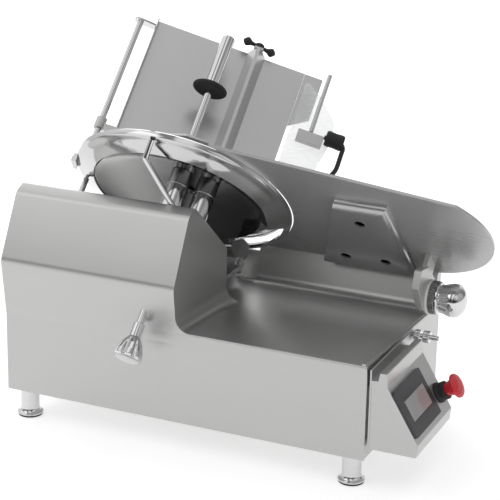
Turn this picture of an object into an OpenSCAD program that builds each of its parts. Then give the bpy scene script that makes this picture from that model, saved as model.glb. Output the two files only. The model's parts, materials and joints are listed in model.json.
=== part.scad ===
// Inclined-knife deli meat slicer. X runs along the front, Y to the back, Z up.
// The origin is the middle of the front left foot's underside, on the table.

/* [Body] */
// Length of the body from end to end
body_len = 640; // [620:10:780]
// Depth of the body from the front wall to the back wall
body_depth = 345; // [338:1:420]
// Length of the motor housing at the left end
housing_len = 316; // [310:1:380]
// Height of the slice deck's front edge above the bottom edge
deck_h = 158; // [140:1:170]
// How much lower the deck is at the back than at the front
deck_fall = 12; // [4:1:16]
// Height of the housing's ridge above the bottom edge
ridge_h = 346; // [320:1:380]
// Thickness of the stainless sheet of covers and panels
sheet = 2; // [1.5:0.1:3]
// Radius of the fillet between the housing and the deck
wall_fillet = 24; // [12:1:34]

/* [Feet] */
// Height of each foot
foot_h = 50; // [40:1:80]
// Diameter of a foot's leg
foot_d = 31; // [24:1:40]
// Diameter of a foot's flared base
foot_base_d = 44; // [36:1:60]
// Distance of each foot's axis from the body's ends
foot_inset_x = 28; // [24:1:60]
// Distance of each foot's axis from the front and back walls
foot_inset_y = 24; // [24:1:60]

/* [Knife] */
// Diameter of the knife
knife_d = 350; // [300:5:370]
// Place of the knife's centre along the body, from the left end
knife_x = 230; // [215:1:240]
// Place of the knife's centre from the front wall
knife_y = 200; // [198:1:215]
// Height of the knife's centre above the bottom edge
knife_z = 327; // [325:1:345]
// Lean of the knife's axis above the horizontal
knife_lean = 45; // [44:0.5:46]
// Diameter of the knife shaft
shaft_d = 25; // [18:1:30]
// Radial clearance of running fits
fit_clear = 0.05; // [0.02:0.01:0.1]
// Radial width of the guard ring beyond the knife
ring_over = 14; // [10:1:18]

/* [Gauge] */
// Thickness of the gauge plate
gauge_t = 5; // [4:0.5:6]
// Widest slice, which is the gauge plate's travel
gauge_travel = 15; // [10:1:16]
// Diameter of the thickness knob
knob_d = 57; // [50:1:60]

/* [Carriage] */
// Length of the product table up its slope
table_len = 280; // [240:5:330]
// Width of the product table's floor
table_w = 273; // [240:1:280]
// Sideways slope of the product table
table_tilt = 26; // [24:0.5:28]
// Travel of the carriage
carriage_travel = 310; // [250:5:330]
// Diameter of the carriage's two rails
rail_d = 16; // [12:1:18]

/* [Console] */
// Depth of the console along the body's end
console_w = 166; // [160:1:175]
// Diameter of the emergency stop's mushroom head
stop_d = 40; // [34:1:42]

/* [Hidden] */

$fn = 64;
eps = 0.01;
seat = 0.3;

// Shape of the body's side view, as distances from the front wall and heights
low_crease_h = 31;
high_crease_h = deck_h - 22;
belly_out = 13;
belly_h = deck_h + 74;
fold_y = 41;
fold_h = ridge_h - 10;
ridge_y = 64;
slope_foot_y = 187;
slope_foot_h = ridge_h - 104;
deck_back_y = body_depth - 38;
deck_back_h = deck_h - deck_fall;
apron_top_y = body_depth - 14;
apron_top_h = deck_h + 54;
bend_r = 6;

// Knife and guard
knife_r = knife_d / 2;
ring_r = knife_r + ring_over;
band_inner_r = knife_r - 23;
shield_r = band_inner_r - 1;
shield_flat_r = shield_r - 36;
knife_plane = 6;
knife_hub = knife_plane - 3.5;
plate_back = -101;
plate_t = 6;
housing_tube_d = 60;
bearing_d = 52;
bearing_w = 15;
pulley_r = 30;
pulley_w = 14;
pulley_low = -123;
motor_x = -130;
motor_d = 90;
motor_len = 92;
motor_shaft_d = 14;
bridge_w = 92;
pillar_d = 36;
pillar_spots = [[26, -77], [66, -56]];
pillar_seam = -35;
release_d = 12;
stud_d = 10;
pad_t = 3;
frame_h = 18;
frame_w = 24;
frame_gap = 8;
vent_pitch = 20;
knob_shaft_d = 10;
latch_d = 8;
latch_y = 213;
latch_z = deck_h - 22;
stop_stem_d = 22;
shield_face = -8;
post_d = 10;
post_stud_d = 6;
pillar_stud_d = 12;
screw_d = 6;
screw_r = 20;
post_spots = [[-168, -29], [-163, 42]];
rod_d = 9;
rod_bends = [[9, -184, -11.5], [3, -171, -40], [41, -104, -80], [47, -92, -87]];

// Gauge plate: its round end is centred here, measured from the knife's axis
end_arc_x = body_len - knife_x - 22;
end_arc_r = 144;
end_arc_down = 25;
plate_start_x = 84;
plate_top_up = 167;
top_fall = 0.2217;
plate_gap = 1.5;
bracket_drop = 15;
bracket_fold = 14;
bracket_t = 3;
bracket_top = -50;
tongue_t = 8;
tongue_down = [98, 138];
tongue_foot = -34;
tongue_gap = 0.1;
bracket_right = [[body_len - knife_x - 38, bracket_top], [body_len - knife_x - 34, 164]];
bracket_left = [[body_len - knife_x - 127, bracket_top], [body_len - knife_x - 196, 160]];
bolt_places = [[body_len - knife_x - 92, 0], [body_len - knife_x - 147, 126], [body_len - knife_x - 76, 126]];
hinge = [64, 166];
leaf_outline = [[70, 100, 3], [92, 86, 3], [96, 110, 4], [80, 154, 4], [62, 180, 3], [54, 152, 4],
    [54, 132, 4]];
hinge_y = knife_y + 83;
hinge_z = knife_z - 155;

// Thickness knob's axis
knob_y = 270;
knob_z = deck_h + 26;
collar_top = 15.5;
dial_t = 4;
neck_r = knob_d / 2 - 6;
dome_z = 43;
dome_len = 21;
lug_x = body_len - 6;
lug_t = 12;
knob_x = lug_x + lug_t;
lug_outline = [[270, deck_h - 4, 2], [body_depth - 16, deck_h - 4, 1], [body_depth - 16, deck_h + 22, 2],
    [290, deck_h + 52, 3], [261, deck_h + 81, 4], [222, deck_h + 86, 4], [209, deck_h + 58, 4],
    [236, deck_h + 16, 6]];

// Carriage
floor_down = 23;
table_low = 12;
table_left = -146;
rail_y = body_depth + 28;
rail_low_z = 56;
rail_high_z = 112;
rail_start = 92;
block_x = 138;
block_w = 120;
rail_end = block_x + block_w + carriage_travel + 44;
arm_low = table_low - 2;
arm_t = 8;
arm_top_z = arm_low + knife_plane + arm_t;
arm_foot_down = 228;
arm_top_down = 50;
table_low_z = table_low + knife_plane;
table_high_z = table_low_z + table_len;
table_right = table_left + table_w;
rod_across = -173;
rod_up = 10;
pusher_low = 60 + knife_plane;
pusher_across = -18;
pusher_up = -40;
pusher_foot = -94;
pusher_t = 4;
slider_low = pusher_low - 8;
push_rod_d = 12;
guide_d = 11;
fence_left = 20;
fence_w = 32;
wing_d = 8;
grip_d = 28;
lever_d = 8;
handle_x = 69;
handle_len = 32;
handle_z = 180;

// Console's side view, from the body's right end
console_gap = 4;
console_top_z = deck_h - 8;
slant_top = [33, deck_h - 30];
slant_foot = [86, 42];
console_foot_z = 21;
screen_x = [33, 69];
screen_y = [21, 106];
stop_place = [67, 148];
slant_run = slant_foot - slant_top;
slant_angle = atan2(-slant_run[1], slant_run[0]);

// ---- geometry helpers ------------------------------------------------------

function unit(v) = v / norm(v);
function cross2(a, b) = a[0] * b[1] - a[1] * b[0];

// Points of the arc that rounds corner b, between a and c, with radius r
function corner(a, b, c, r, n) =
    let (u = unit(a - b), w = unit(c - b), half = acos(u * w) / 2)
    let (o = b + unit(u + w) * r / sin(half), turn = 180 - 2 * half)
    let (from = b + u * r / tan(half) - o, way = sign(cross2(b - a, c - b)))
    let (a0 = atan2(from[1], from[0]))
    r <= 0 ? [b] : [for (i = [0 : n]) o + r * [cos(a0 + way * turn * i / n), sin(a0 + way * turn * i / n)]];

// A closed outline of [x, y, radius] corners, with every corner rounded
function rounded(p, n = 6) =
    let (k = len(p))
    [for (i = [0 : k - 1])
        let (a = p[(i + k - 1) % k], b = p[i], c = p[(i + 1) % k])
        each corner([a[0], a[1]], [b[0], b[1]], [c[0], c[1]], b[2], n)];

// The same outline moved inward by d, for a counter-clockwise outline
function inset(p, d) =
    let (k = len(p))
    [for (i = [0 : k - 1])
        let (a = p[(i + k - 1) % k], b = p[i], c = p[(i + 1) % k])
        let (e = unit([b[0] - a[0], b[1] - a[1]]), f = unit([c[0] - b[0], c[1] - b[1]]))
        let (m = [-e[1], e[0]], n = [-f[1], f[0]], s = d / (1 + m * n))
        [b[0] + s * (m[0] + n[0]), b[1] + s * (m[1] + n[1]),
            b[2] <= 0 ? 0 : max(b[2] - sign(cross2(e, f)) * d, 0.5)]];

// Body coordinates: left end, front wall and bottom edge are zero
module place() translate([-foot_inset_x, -foot_inset_y, foot_h]) children();

// An outline of [y, z] drawn across the body and run from x0 to x1
module along_x(x0, x1) translate([x0, 0, 0]) rotate([90, 0, 90]) linear_extrude(x1 - x0) children();

// Knife coordinates: x along the body, y down the knife's face, z towards the product
module at_knife() place() translate([knife_x, knife_y, knife_z]) rotate([knife_lean - 90, 0, 0]) children();

// Table coordinates: x across the table's floor, y away from its upper face, z up its slope
module at_table() at_knife() rotate([0, 0, table_tilt]) children();

// Console coordinates: x down the slanted face, y along it, z out of it
module at_console() place() translate([body_len + slant_top[0], 0, slant_top[1]])
    rotate([0, slant_angle, 0]) children();

// A rod of diameter d from point a to point b
module rod(a, b, d) {
    v = b - a;
    translate(a) rotate([0, acos(v[2] / norm(v)), atan2(v[1], v[0])]) cylinder(h = norm(v), d = d);
}

// A bar of rectangular section between two points of the x-y plane
module bar(a, b, w, t) {
    v = b - a;
    translate([a[0], a[1], 0]) rotate([0, 0, atan2(v[1], v[0])]) translate([0, -w / 2, 0])
        cube([norm(v), w, t]);
}

// A round-cornered plate in the x-y plane
module plate(x0, y0, x1, y1, r, t) linear_extrude(t)
    polygon(rounded([[x0, y0, r], [x1, y0, r], [x1, y1, r], [x0, y1, r]]));

// A knurled ring: a cylinder with flutes round it
module knurled(d, h, n, flute_d) difference() {
    cylinder(h = h, d = d);
    for (i = [0 : n - 1]) rotate([0, 0, 360 * i / n]) translate([d / 2 + flute_d * 0.2, 0, -1])
        cylinder(h = h + 2, d = flute_d, $fn = 16);
}

// Cylinders that stand on z at each of the spots
module holes(spots, z, h, d) for (p = spots) translate([p[0], p[1], z]) cylinder(h = h, d = d);

// ---- body ------------------------------------------------------------------

housing_outline = [[0, 0, 0], [slope_foot_y, 0, 0], [slope_foot_y, slope_foot_h, bend_r * 2],
    [ridge_y, ridge_h, bend_r], [fold_y, fold_h, bend_r * 3], [-belly_out, belly_h, bend_r * 4],
    [0, high_crease_h, bend_r * 4], [0, low_crease_h, 0]];
base_outline = [[0, 0, 0], [body_depth, 0, 0], [body_depth, deck_back_h - 6, bend_r],
    [body_depth - 10, deck_back_h, bend_r / 2], [deck_back_y, deck_back_h, 0], [-3, deck_h, bend_r / 2],
    [0, high_crease_h, bend_r * 3], [0, low_crease_h, 0]];
apron_outline = [[0, 0, 0], [body_depth, 0, 0], [body_depth, apron_top_h - 8, bend_r],
    [apron_top_y, apron_top_h, bend_r / 2], [deck_back_y, deck_back_h, 20], [-3, deck_h, bend_r / 2],
    [0, high_crease_h, bend_r * 3], [0, low_crease_h, 0]];

side_apron_x = knife_x + 50;
side_apron_h = knife_z - cos(knife_lean) * (sqrt(ring_r * ring_r - 2500) + 4);
side_outline = [[0, 0, 0], [body_depth, 0, 0], [body_depth, side_apron_h - 8, bend_r],
    [apron_top_y, side_apron_h, bend_r / 2], [deck_back_y, deck_back_h, 10], [-3, deck_h, bend_r / 2],
    [0, high_crease_h, bend_r * 3], [0, low_crease_h, 0]];

module body_solid(d) {
    along_x(d > 0 ? -eps : 0, housing_len - d) polygon(rounded(inset(housing_outline, d)));
    along_x(d > 0 ? -eps : 0, body_len + (d > 0 ? eps : 0)) polygon(rounded(inset(base_outline, d)));
    along_x(side_apron_x + d, housing_len + d + 1) polygon(rounded(inset(side_outline, d)));
    along_x(housing_len + d, body_len + (d > 0 ? eps : 0)) polygon(rounded(inset(apron_outline, d)));
}

module foot_axes()
    for (x = [foot_inset_x, body_len - foot_inset_x], y = [foot_inset_y, body_depth - foot_inset_y])
        translate([x, y, 0]) children();

// Rounded corner where the housing's end wall runs into the sloping deck
module housing_fillet() intersection() {
    r = wall_fillet;
    run = slope_foot_y + belly_out + 20;
    translate([housing_len - sheet, -belly_out, deck_h + belly_out * deck_fall / (deck_back_y + 3) - 0.1])
        rotate([-atan(deck_fall / (deck_back_y + 3)), 0, 0]) difference() {
            translate([0, 0, -2]) cube([r + sheet, run, r + 2]);
            translate([r + sheet, -1, r]) rotate([-90, 0, 0]) cylinder(h = run + 2, r = r);
        }
    along_x(housing_len - sheet, housing_len + r + 1) polygon(rounded(housing_outline));
}

module main_cover() color("silver") difference() {
    place() difference() {
        union() {
            body_solid(0);
            housing_fillet();
            along_x(body_len - 9, body_len - 3) polygon([[0, deck_h - 1], [deck_back_y - 12, deck_back_h - 1],
                [deck_back_y - 14, deck_back_h + 3], [0, deck_h + 3]]);
        }
        body_solid(sheet);
        translate([-1, sheet, -1]) cube([body_len + 2, body_depth - 2 * sheet, sheet + 2]);
    }
    at_knife() {
        translate([0, 0, plate_back]) cylinder(h = -plate_back - 40, d = housing_tube_d + 2 * seat);
        holes(pillar_spots, plate_back, 60, pillar_d + 2 * seat);
        holes(post_spots, plate_back, 60, post_d + 2 * seat);
        rod(rod_bends[1], rod_bends[3] + (rod_bends[3] - rod_bends[2]), rod_d + 4);
    }
    release_axis() cylinder(h = 80, d = release_d + 2 * fit_clear, center = true);
}

module end_outline(outlines) for (o = outlines) polygon(rounded(inset(o, sheet + seat)));

module left_end_panel() color("silver") place() difference() {
    along_x(0, sheet) end_outline([base_outline, housing_outline]);
    translate([-1, body_depth / 2 - 22 - seat, 49 - seat]) cube([sheet + 2, 44 + 2 * seat, 22 + 2 * seat]);
}

module right_end_panel() color("silver") place() difference() {
    along_x(body_len - sheet, body_len) end_outline([apron_outline]);
    translate([body_len - sheet - 1, latch_y, latch_z]) rotate([0, 90, 0])
        cylinder(h = sheet + 2, d = latch_d + 2 * fit_clear);
}

module bottom_plate() color("gainsboro") place() difference() {
    translate([sheet + seat, sheet + seat, 0])
        cube([body_len - 2 * (sheet + seat), body_depth - 2 * (sheet + seat), sheet]);
    foot_axes() translate([0, 0, -1]) cylinder(h = sheet + 2, d = stud_d + 2 * fit_clear);
    for (i = [-4 : 4]) translate([body_len / 2 + vent_pitch * i, body_depth / 2 - 50, -1])
        cube([6, 100, sheet + 2]);
}

module base_frame() color("dimgray") place() difference() {
    translate([frame_gap, frame_gap, sheet + eps])
        cube([body_len - 2 * frame_gap, body_depth - 2 * frame_gap, frame_h]);
    translate([frame_gap + frame_w, frame_gap + frame_w, 0])
        cube([body_len - 2 * (frame_gap + frame_w), body_depth - 2 * (frame_gap + frame_w), frame_h + 9]);
    foot_axes() translate([0, 0, -1]) cylinder(h = frame_h + 9, d = stud_d + 2 * fit_clear);
}

module feet() color("silver") place() foot_axes() {
    rotate_extrude() polygon([[0, -foot_h + pad_t], [foot_base_d / 2 - 1, -foot_h + pad_t],
        [foot_base_d / 2, -foot_h + pad_t + 2], [foot_base_d / 2 - 2, -foot_h + pad_t + 5],
        [foot_d / 2 + 2, -foot_h + pad_t + 8], [foot_d / 2, -foot_h + pad_t + 12], [foot_d / 2, -1],
        [foot_d / 2 - 1, 0], [0, 0]]);
    cylinder(h = sheet + frame_h - 4, d = stud_d);
}

module foot_pads() color("black") place() foot_axes() translate([0, 0, -foot_h])
    cylinder(h = pad_t, d = foot_base_d - 3);

// ---- knife drive -----------------------------------------------------------

module motor_plate() color("gray") at_knife() difference() {
    union() {
        translate([0, 0, plate_back]) plate(-186, -96, housing_len - knife_x - 4, 56, 12, plate_t);
        for (x = [motor_x - motor_d / 2 - 9, motor_x + motor_d / 2 + 1])
            translate([x, -bridge_w / 2, pulley_low - 9]) cube([8, bridge_w, plate_back - pulley_low + 10]);
        translate([0, 0, pulley_low - 9])
            plate(motor_x - motor_d / 2 - 9, -bridge_w / 2, motor_x + motor_d / 2 + 9, bridge_w / 2, 4, 5);
    }
    translate([motor_x + motor_d / 2, -pulley_r - 6, pulley_low - 3])
        cube([10, 2 * pulley_r + 12, pulley_w + 6]);
    translate([0, 0, plate_back - 1]) cylinder(h = plate_t + 2, d = housing_tube_d + 2 * fit_clear);
    translate([motor_x, 0, pulley_low - 20]) cylinder(h = 40, d = motor_shaft_d + 8);
    holes(pillar_spots, plate_back - 1, plate_t + 2, pillar_stud_d + 2 * fit_clear);
    holes(post_spots, plate_back - 1, plate_t + 2, post_stud_d + 2 * fit_clear);
}

module knife_motor() color("dimgray") at_knife() translate([motor_x, 0, pulley_low - 9 - motor_len])
    difference() {
        union() {
            knurled(motor_d, motor_len - 12, 24, 5);
            translate([0, 0, motor_len - 12]) cylinder(h = 12, d = motor_d - 6);
        }
        translate([0, 0, motor_len - 40]) cylinder(h = 50, d = motor_shaft_d + 2 * fit_clear);
    }

module pulley(bore) difference() {
    union() {
        cylinder(h = 1.5, r = pulley_r + 4);
        cylinder(h = pulley_w, r = pulley_r);
        translate([0, 0, pulley_w - 1.5]) cylinder(h = 1.5, r = pulley_r + 4);
    }
    translate([0, 0, -1]) cylinder(h = pulley_w + 2, d = bore);
}

module motor_pulley() color("gray") at_knife() translate([motor_x, 0, 0]) {
    translate([0, 0, pulley_low]) pulley(motor_shaft_d - 2);
    translate([0, 0, pulley_low - 45]) cylinder(h = pulley_w + 47, d = motor_shaft_d);
}

module knife_pulley() color("gray") at_knife() translate([0, 0, pulley_low]) pulley(shaft_d);

module drive_belt() color("black") at_knife() translate([0, 0, pulley_low + 1.8])
    linear_extrude(pulley_w - 3.6) difference() {
        hull() for (x = [0, motor_x]) translate([x, 0]) circle(r = pulley_r + 3);
        hull() for (x = [0, motor_x]) translate([x, 0]) circle(r = pulley_r + seat);
    }

module knife_shaft() color("silver") at_knife() {
    translate([0, 0, pulley_low - 4]) cylinder(h = -pulley_low + 4 - 5, d = shaft_d);
    translate([0, 0, -5]) cylinder(h = 3, r = 28);
    translate([0, 0, -2 - eps]) cylinder(h = 5, d = shaft_d - 3);
}

module knife_bearings() color("lightsteelblue") at_knife() for (z = [plate_back + 2, -30]) translate([0, 0, z])
    difference() {
        cylinder(h = bearing_w, d = bearing_d);
        translate([0, 0, -1]) cylinder(h = bearing_w + 2, d = shaft_d + 2 * fit_clear);
        for (e = [-1, bearing_w - 2]) translate([0, 0, e]) difference() {
            cylinder(h = 3, d = bearing_d - 8);
            translate([0, 0, -1]) cylinder(h = 5, d = shaft_d + 8);
        }
    }

module shaft_housing() color("gray") at_knife() difference() {
    translate([0, 0, plate_back]) cylinder(h = -plate_back - 14, d = housing_tube_d);
    translate([0, 0, plate_back - 1]) cylinder(h = -plate_back, d = bearing_d + 2 * fit_clear);
}

module pillars() color("silver") at_knife() for (p = pillar_spots) translate([p[0], p[1], 0]) {
    translate([0, 0, -94]) cylinder(h = pillar_seam + 94 - 1, d = pillar_d);
    translate([0, 0, plate_back]) cylinder(h = 9, d = pillar_stud_d);
    translate([0, 0, pillar_seam - 2]) cylinder(h = 6, d = pillar_d - 3);
}

module pillar_caps() color("silver") at_knife() for (p = pillar_spots) translate([p[0], p[1], 0]) difference() {
    translate([0, 0, pillar_seam]) cylinder(h = shield_face - pillar_seam, d = pillar_d);
    translate([0, 0, pillar_seam - 1]) cylinder(h = 7, d = pillar_d - 3 + 2 * fit_clear);
}

module knife_shield() color("dimgray") at_knife() difference() {
    rotate_extrude($fn = 128) polygon([[32, shield_face], [shield_flat_r, shield_face],
        [shield_r - 10, shield_face - 7], [shield_r, shield_face - 12], [shield_r, shield_face - 10],
        [shield_r - 9.5, shield_face - 5], [shield_flat_r, shield_face + 2], [32, shield_face + 2]]);
    sector(-72, -20, shield_r - 12, shield_r + 9);
}

// The wedge of a ring between two angles below the horizontal, on the lower right
module sector(a0, a1, r0, r1) translate([0, 0, -60]) linear_extrude(70)
    polygon([for (i = [0 : 8]) let (a = -(a0 + (a1 - a0) * i / 8)) r1 * [cos(a), sin(a)],
        each [for (i = [8 : -1 : 0]) let (a = -(a0 + (a1 - a0) * i / 8)) r0 * [cos(a), sin(a)]]]);

module screw_axes() for (a = [45 : 90 : 315]) rotate([0, 0, a]) translate([screw_r, 0, 0]) children();

module knife() color("lightgray") at_knife() difference() {
    bore = shaft_d / 2 - 1.5 + fit_clear;
    rotate_extrude($fn = 160) polygon([[bore, -2], [knife_r - 60, -2], [knife_r - 25, 0], [knife_r - 9, 2],
        [knife_r, knife_plane - 0.2], [knife_r, knife_plane], [knife_r - 25, knife_plane - 1.2],
        [knife_r - 60, knife_hub], [bore, knife_hub]]);
    screw_axes() translate([0, 0, -3]) cylinder(h = 10, d = screw_d + 2 * fit_clear);
}

module knife_screws() color("gray") at_knife() screw_axes() {
    translate([0, 0, -2 + eps]) cylinder(h = 5, d = screw_d);
    translate([0, 0, knife_hub + eps]) cylinder(h = 0.9, d = screw_d * 1.5);
}

module knife_cover() color("silver") at_knife() rotate_extrude($fn = 96) polygon([[0, knife_plane - 2.4],
    [knife_r - 74, knife_plane - 2.4], [knife_r - 70, knife_plane - 1.6], [knife_r - 74, knife_plane - 0.8],
    [0, knife_plane - 0.8]]);

module ring_guard() color("lightgray") at_knife() {
    guard_band();
    rotate([0, 0, 198]) translate([ring_r - 1, -15, -13]) {
        cube([7, 30, 15]);
        translate([6, 6, 3]) cube([4, 18, 9]);
    }
}

// The rolled, polished band round the knife, open where the slice leaves
module guard_band() difference() {
    rotate_extrude($fn = 160) polygon([[band_inner_r, shield_face - 10], [band_inner_r + 2, shield_face - 13.5],
        [knife_r - 8, shield_face - 8], [knife_r + 4, shield_face - 2], [ring_r - 5, -9], [ring_r - 1, -7],
        [ring_r, -4], [ring_r, 1], [ring_r - 2, 3], [ring_r - 5, 3], [ring_r - 7, 1], [ring_r - 8, -4],
        [knife_r + 2, -6], [knife_r - 9, shield_face - 5.5], [band_inner_r + 2, shield_face - 11]]);
    sector(-72, -22, band_inner_r - 4, knife_r + 3);
    holes(post_spots, -40, 60, post_stud_d + 2 * fit_clear);
}

module ring_posts() color("silver") at_knife() for (p = post_spots) translate([p[0], p[1], 0]) {
    translate([0, 0, -94]) cylinder(h = 94 + shield_face - 12, d = post_d);
    translate([0, 0, plate_back]) cylinder(h = 9, d = post_stud_d);
    translate([0, 0, shield_face - 14]) cylinder(h = 14, d = post_stud_d);
}

module guard_rod() color("silver") at_knife() {
    for (i = [1 : len(rod_bends) - 1]) rod(rod_bends[i - 1], rod_bends[i], rod_d);
    for (i = [1 : len(rod_bends) - 2]) translate(rod_bends[i]) sphere(d = rod_d + 0.6);
}

module slice_deflector() color("silver") at_knife() {
    translate([0, 0, -32]) linear_extrude(2) polygon(rounded(leaf_outline));
    translate([hinge[0], hinge[1], -37]) cylinder(h = 11, d = 11);
    translate([hinge[0], hinge[1], -54]) cylinder(h = 20, d = 6);
}

module deflector_bracket() color("gray") difference() {
    union() {
        at_knife() translate([hinge[0], hinge[1], -58]) cylinder(h = 20, d = 16);
        place() translate([knife_x + hinge[0], slope_foot_y + eps, hinge_z]) {
            translate([-6, 0, 0]) cube([12, hinge_y - slope_foot_y, 8]);
            translate([-9, 0, -14]) cube([18, 4, 30]);
        }
    }
    at_knife() translate([hinge[0], hinge[1], -60]) cylinder(h = 24, d = 6 + 2 * fit_clear);
}

// ---- gauge -----------------------------------------------------------------

function top_line(x) = -plate_top_up + top_fall * (x - plate_start_x);

module gauge_plate() color("silver") at_knife() translate([0, 0, knife_plane - gauge_t]) difference() {
    far = end_arc_x + end_arc_r;
    foot = end_arc_down + end_arc_r;
    linear_extrude(gauge_t) intersection() {
        polygon([[plate_start_x, top_line(plate_start_x)], [far, top_line(far)], [far, foot],
            [plate_start_x + 18, foot]]);
        union() {
            translate([0, -220]) square([end_arc_x, 440]);
            translate([end_arc_x, end_arc_down]) circle(r = end_arc_r, $fn = 160);
        }
    }
    translate([0, 0, -1]) cylinder(h = gauge_t + 2, r = ring_r + plate_gap, $fn = 160);
}

// The bracket's outside, or its inside for a d of one wall: a plate with two rounded folds
module bracket_body(d) {
    low = knife_plane - gauge_t - bracket_drop + d;
    high = knife_plane - gauge_t + (d > 0 ? 1 : -eps);
    foot = bracket_right[1][1] + 1;
    reach = bracket_right[0][0] - bracket_left[1][0] + 20;
    lean = atan2(bracket_right[1][0] - bracket_right[0][0], bracket_right[1][1] - bracket_top);
    intersection() {
        translate([0, 0, low]) linear_extrude(high - low) polygon(rounded(inset([concat(bracket_left[0], 1),
            concat(bracket_right[0], 1), concat(bracket_right[1], 4), concat(bracket_left[1], 4)], d)));
        along_x(bracket_left[1][0], bracket_right[1][0] + 1) polygon(rounded([[bracket_top + d, low,
            bracket_fold - d], [foot, low, 0], [foot, high, 0], [bracket_top + d, high, 0]]));
        translate(bracket_right[0]) rotate([90, 0, -lean]) translate([0, 0, bracket_top - foot])
            linear_extrude(foot - bracket_top + 9) polygon(rounded([[-reach, low, 0],
                [-d, low, bracket_fold - d], [-d, high, 0], [-reach, high, 0]]));
    }
}

module gauge_bracket() color("silver") at_knife() difference() {
    bracket_body(0);
    bracket_body(bracket_t);
    bolt_spots() translate([0, 0, knife_plane - gauge_t - bracket_drop - 1]) cylinder(h = bracket_drop, d = 18);
}

module bolt_spots() for (p = bolt_places) translate(p) children();

module gauge_bolts() color("gray") at_knife() bolt_spots() translate([0, 0, knife_plane - gauge_t - 8])
    difference() {
        cylinder(h = 8 - eps, d = 13);
        translate([0, 0, -1]) cylinder(h = 5, d = 7, $fn = 6);
    }

// The tongue's block, grown by a gap and reaching down to a foot
module tongue(gap, foot, top) translate([lug_x + (lug_t - tongue_t) / 2 - gap - knife_x, tongue_down[0] - gap, foot])
    cube([tongue_t + 2 * gap, tongue_down[1] - tongue_down[0] + 2 * gap, top - foot]);

module gauge_tongue() color("silver") at_knife() tongue(0, tongue_foot, knife_plane - gauge_t - eps);

module gauge_lug() color("silver") difference() {
    place() difference() {
        along_x(lug_x, knob_x) polygon(rounded(lug_outline));
        translate([lug_x - 1, knob_y, knob_z]) rotate([0, 90, 0])
            cylinder(h = lug_t + 2, d = knob_shaft_d + 2 * fit_clear);
        body_solid(-seat);
    }
    at_knife() tongue(tongue_gap, tongue_foot - gauge_travel - 3, knife_plane);
}

module at_knob() place() translate([knob_x, knob_y, knob_z]) rotate([0, 90, 0]) children();

module dial_plate() color("white") at_knob() difference() {
    cylinder(h = dial_t, d = knob_d + 1);
    translate([0, 0, -1]) cylinder(h = 6, d = knob_shaft_d + 2 * fit_clear);
}

module knob_collar() color("dimgray") at_knob() translate([0, 0, dial_t + seat]) difference() {
    knurled(knob_d - 1, 11, 36, 3);
    translate([0, 0, -1]) cylinder(h = 20, d = knob_shaft_d + 2 * fit_clear);
}

module thickness_knob() color("silver") at_knob() {
    translate([0, 0, -lug_t - 4]) cylinder(h = lug_t + 20, d = knob_shaft_d);
    translate([0, 0, -lug_t - 3]) cylinder(h = 2, d = knob_shaft_d + 5);
    rotate_extrude() polygon(concat([[0, collar_top + seat], [knob_d / 2 - 1, collar_top + seat],
        [knob_d / 2 - 1, collar_top + 4], [neck_r, collar_top + 6], [neck_r, dome_z - 16]],
        [for (i = [-5 : 9]) [knob_d / 2 * cos(10 * i), dome_z + dome_len * sin(10 * i) * (i < 0 ? 0.7 : 1)]]));
}

// ---- knobs -----------------------------------------------------------------

module release_axis() at_knife() translate([30, -43, -248]) children();

module release_knob() color("silver") release_axis() difference() {
    union() {
        translate([0, 0, -40]) cylinder(h = 95, d = release_d);
        translate([0, 0, -82]) rotate_extrude() polygon([[0, 2], [20, 0], [23, 2], [22, 12], [18, 24],
            [13, 34], [9.5, 38], [9.5, 62], [0, 62]]);
    }
    for (i = [0 : 7]) rotate([0, 0, 45 * i]) translate([25.5, 0, -84]) cylinder(h = 40, d = 9);
}

module latch_knob() color("silver") place() translate([body_len, latch_y, latch_z]) rotate([0, 90, 0]) {
    translate([0, 0, -20]) cylinder(h = 64, d = latch_d);
    translate([0, 0, 3]) knurled(20, 10, 20, 2);
    translate([0, 0, 18]) knurled(20, 11, 20, 2);
}

// ---- console ---------------------------------------------------------------

console_outline = [[console_gap, console_foot_z, 2], [slant_foot[0] - 2, console_foot_z, 3],
    [slant_foot[0], slant_foot[1], 3], [slant_top[0], slant_top[1], 3], [slant_top[0] - 2, console_top_z, 2],
    [console_gap + 16, console_top_z, 2], [console_gap + 13, console_top_z - 14, 2],
    [console_gap, console_top_z - 14, 1]];

module across_y(y0, y1) translate([0, y1, 0]) rotate([90, 0, 0]) linear_extrude(y1 - y0) children();

module console_box() color("silver") place() difference() {
    translate([body_len, 0, 0]) union() {
        across_y(2, console_w) polygon(rounded(console_outline));
        across_y(1, console_w + 6) translate([console_gap, console_foot_z])
            square([3, console_top_z + 3 - console_foot_z]);
        across_y(14, console_w - 14) translate([0, 40]) square([console_gap + 2, 80]);
    }
    translate([body_len, 0, 0]) across_y(2 + sheet, console_w - sheet)
        polygon(rounded(inset(console_outline, sheet)));
}

module console_bezel() color("dimgray") at_console() difference() {
    translate([0, 0, eps]) plate(10, 4, 90, 118, 3, 5);
    translate([0, 0, 3.5]) plate(screen_x[0], screen_y[0], screen_x[1], screen_y[1], 1, 5);
}

module console_screen() color("gainsboro") at_console() translate([0, 0, 3.5])
    plate(screen_x[0] + seat, screen_y[0] + seat, screen_x[1] - seat, screen_y[1] - seat, 1, 1);

module stop_collar() color("black") at_console() translate([stop_place[0], stop_place[1], eps]) difference() {
    rotate_extrude() polygon([[0, 0], [17, 0], [17, 4], [15, 6], [15, 17], [0, 17]]);
    translate([0, 0, 2]) cylinder(h = 20, d = stop_stem_d + 2 * fit_clear);
}

module stop_button() color("red") at_console() translate(stop_place) {
    translate([0, 0, 7]) cylinder(h = 20, d = stop_stem_d);
    rotate_extrude() polygon([[0, 23], [stop_stem_d / 2 + 1, 23], [stop_d / 2 - 6, 30], [stop_d / 2, 33],
        [stop_d / 2, 36], [stop_d / 2 - 2, 38], [0, 39]]);
}

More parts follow.
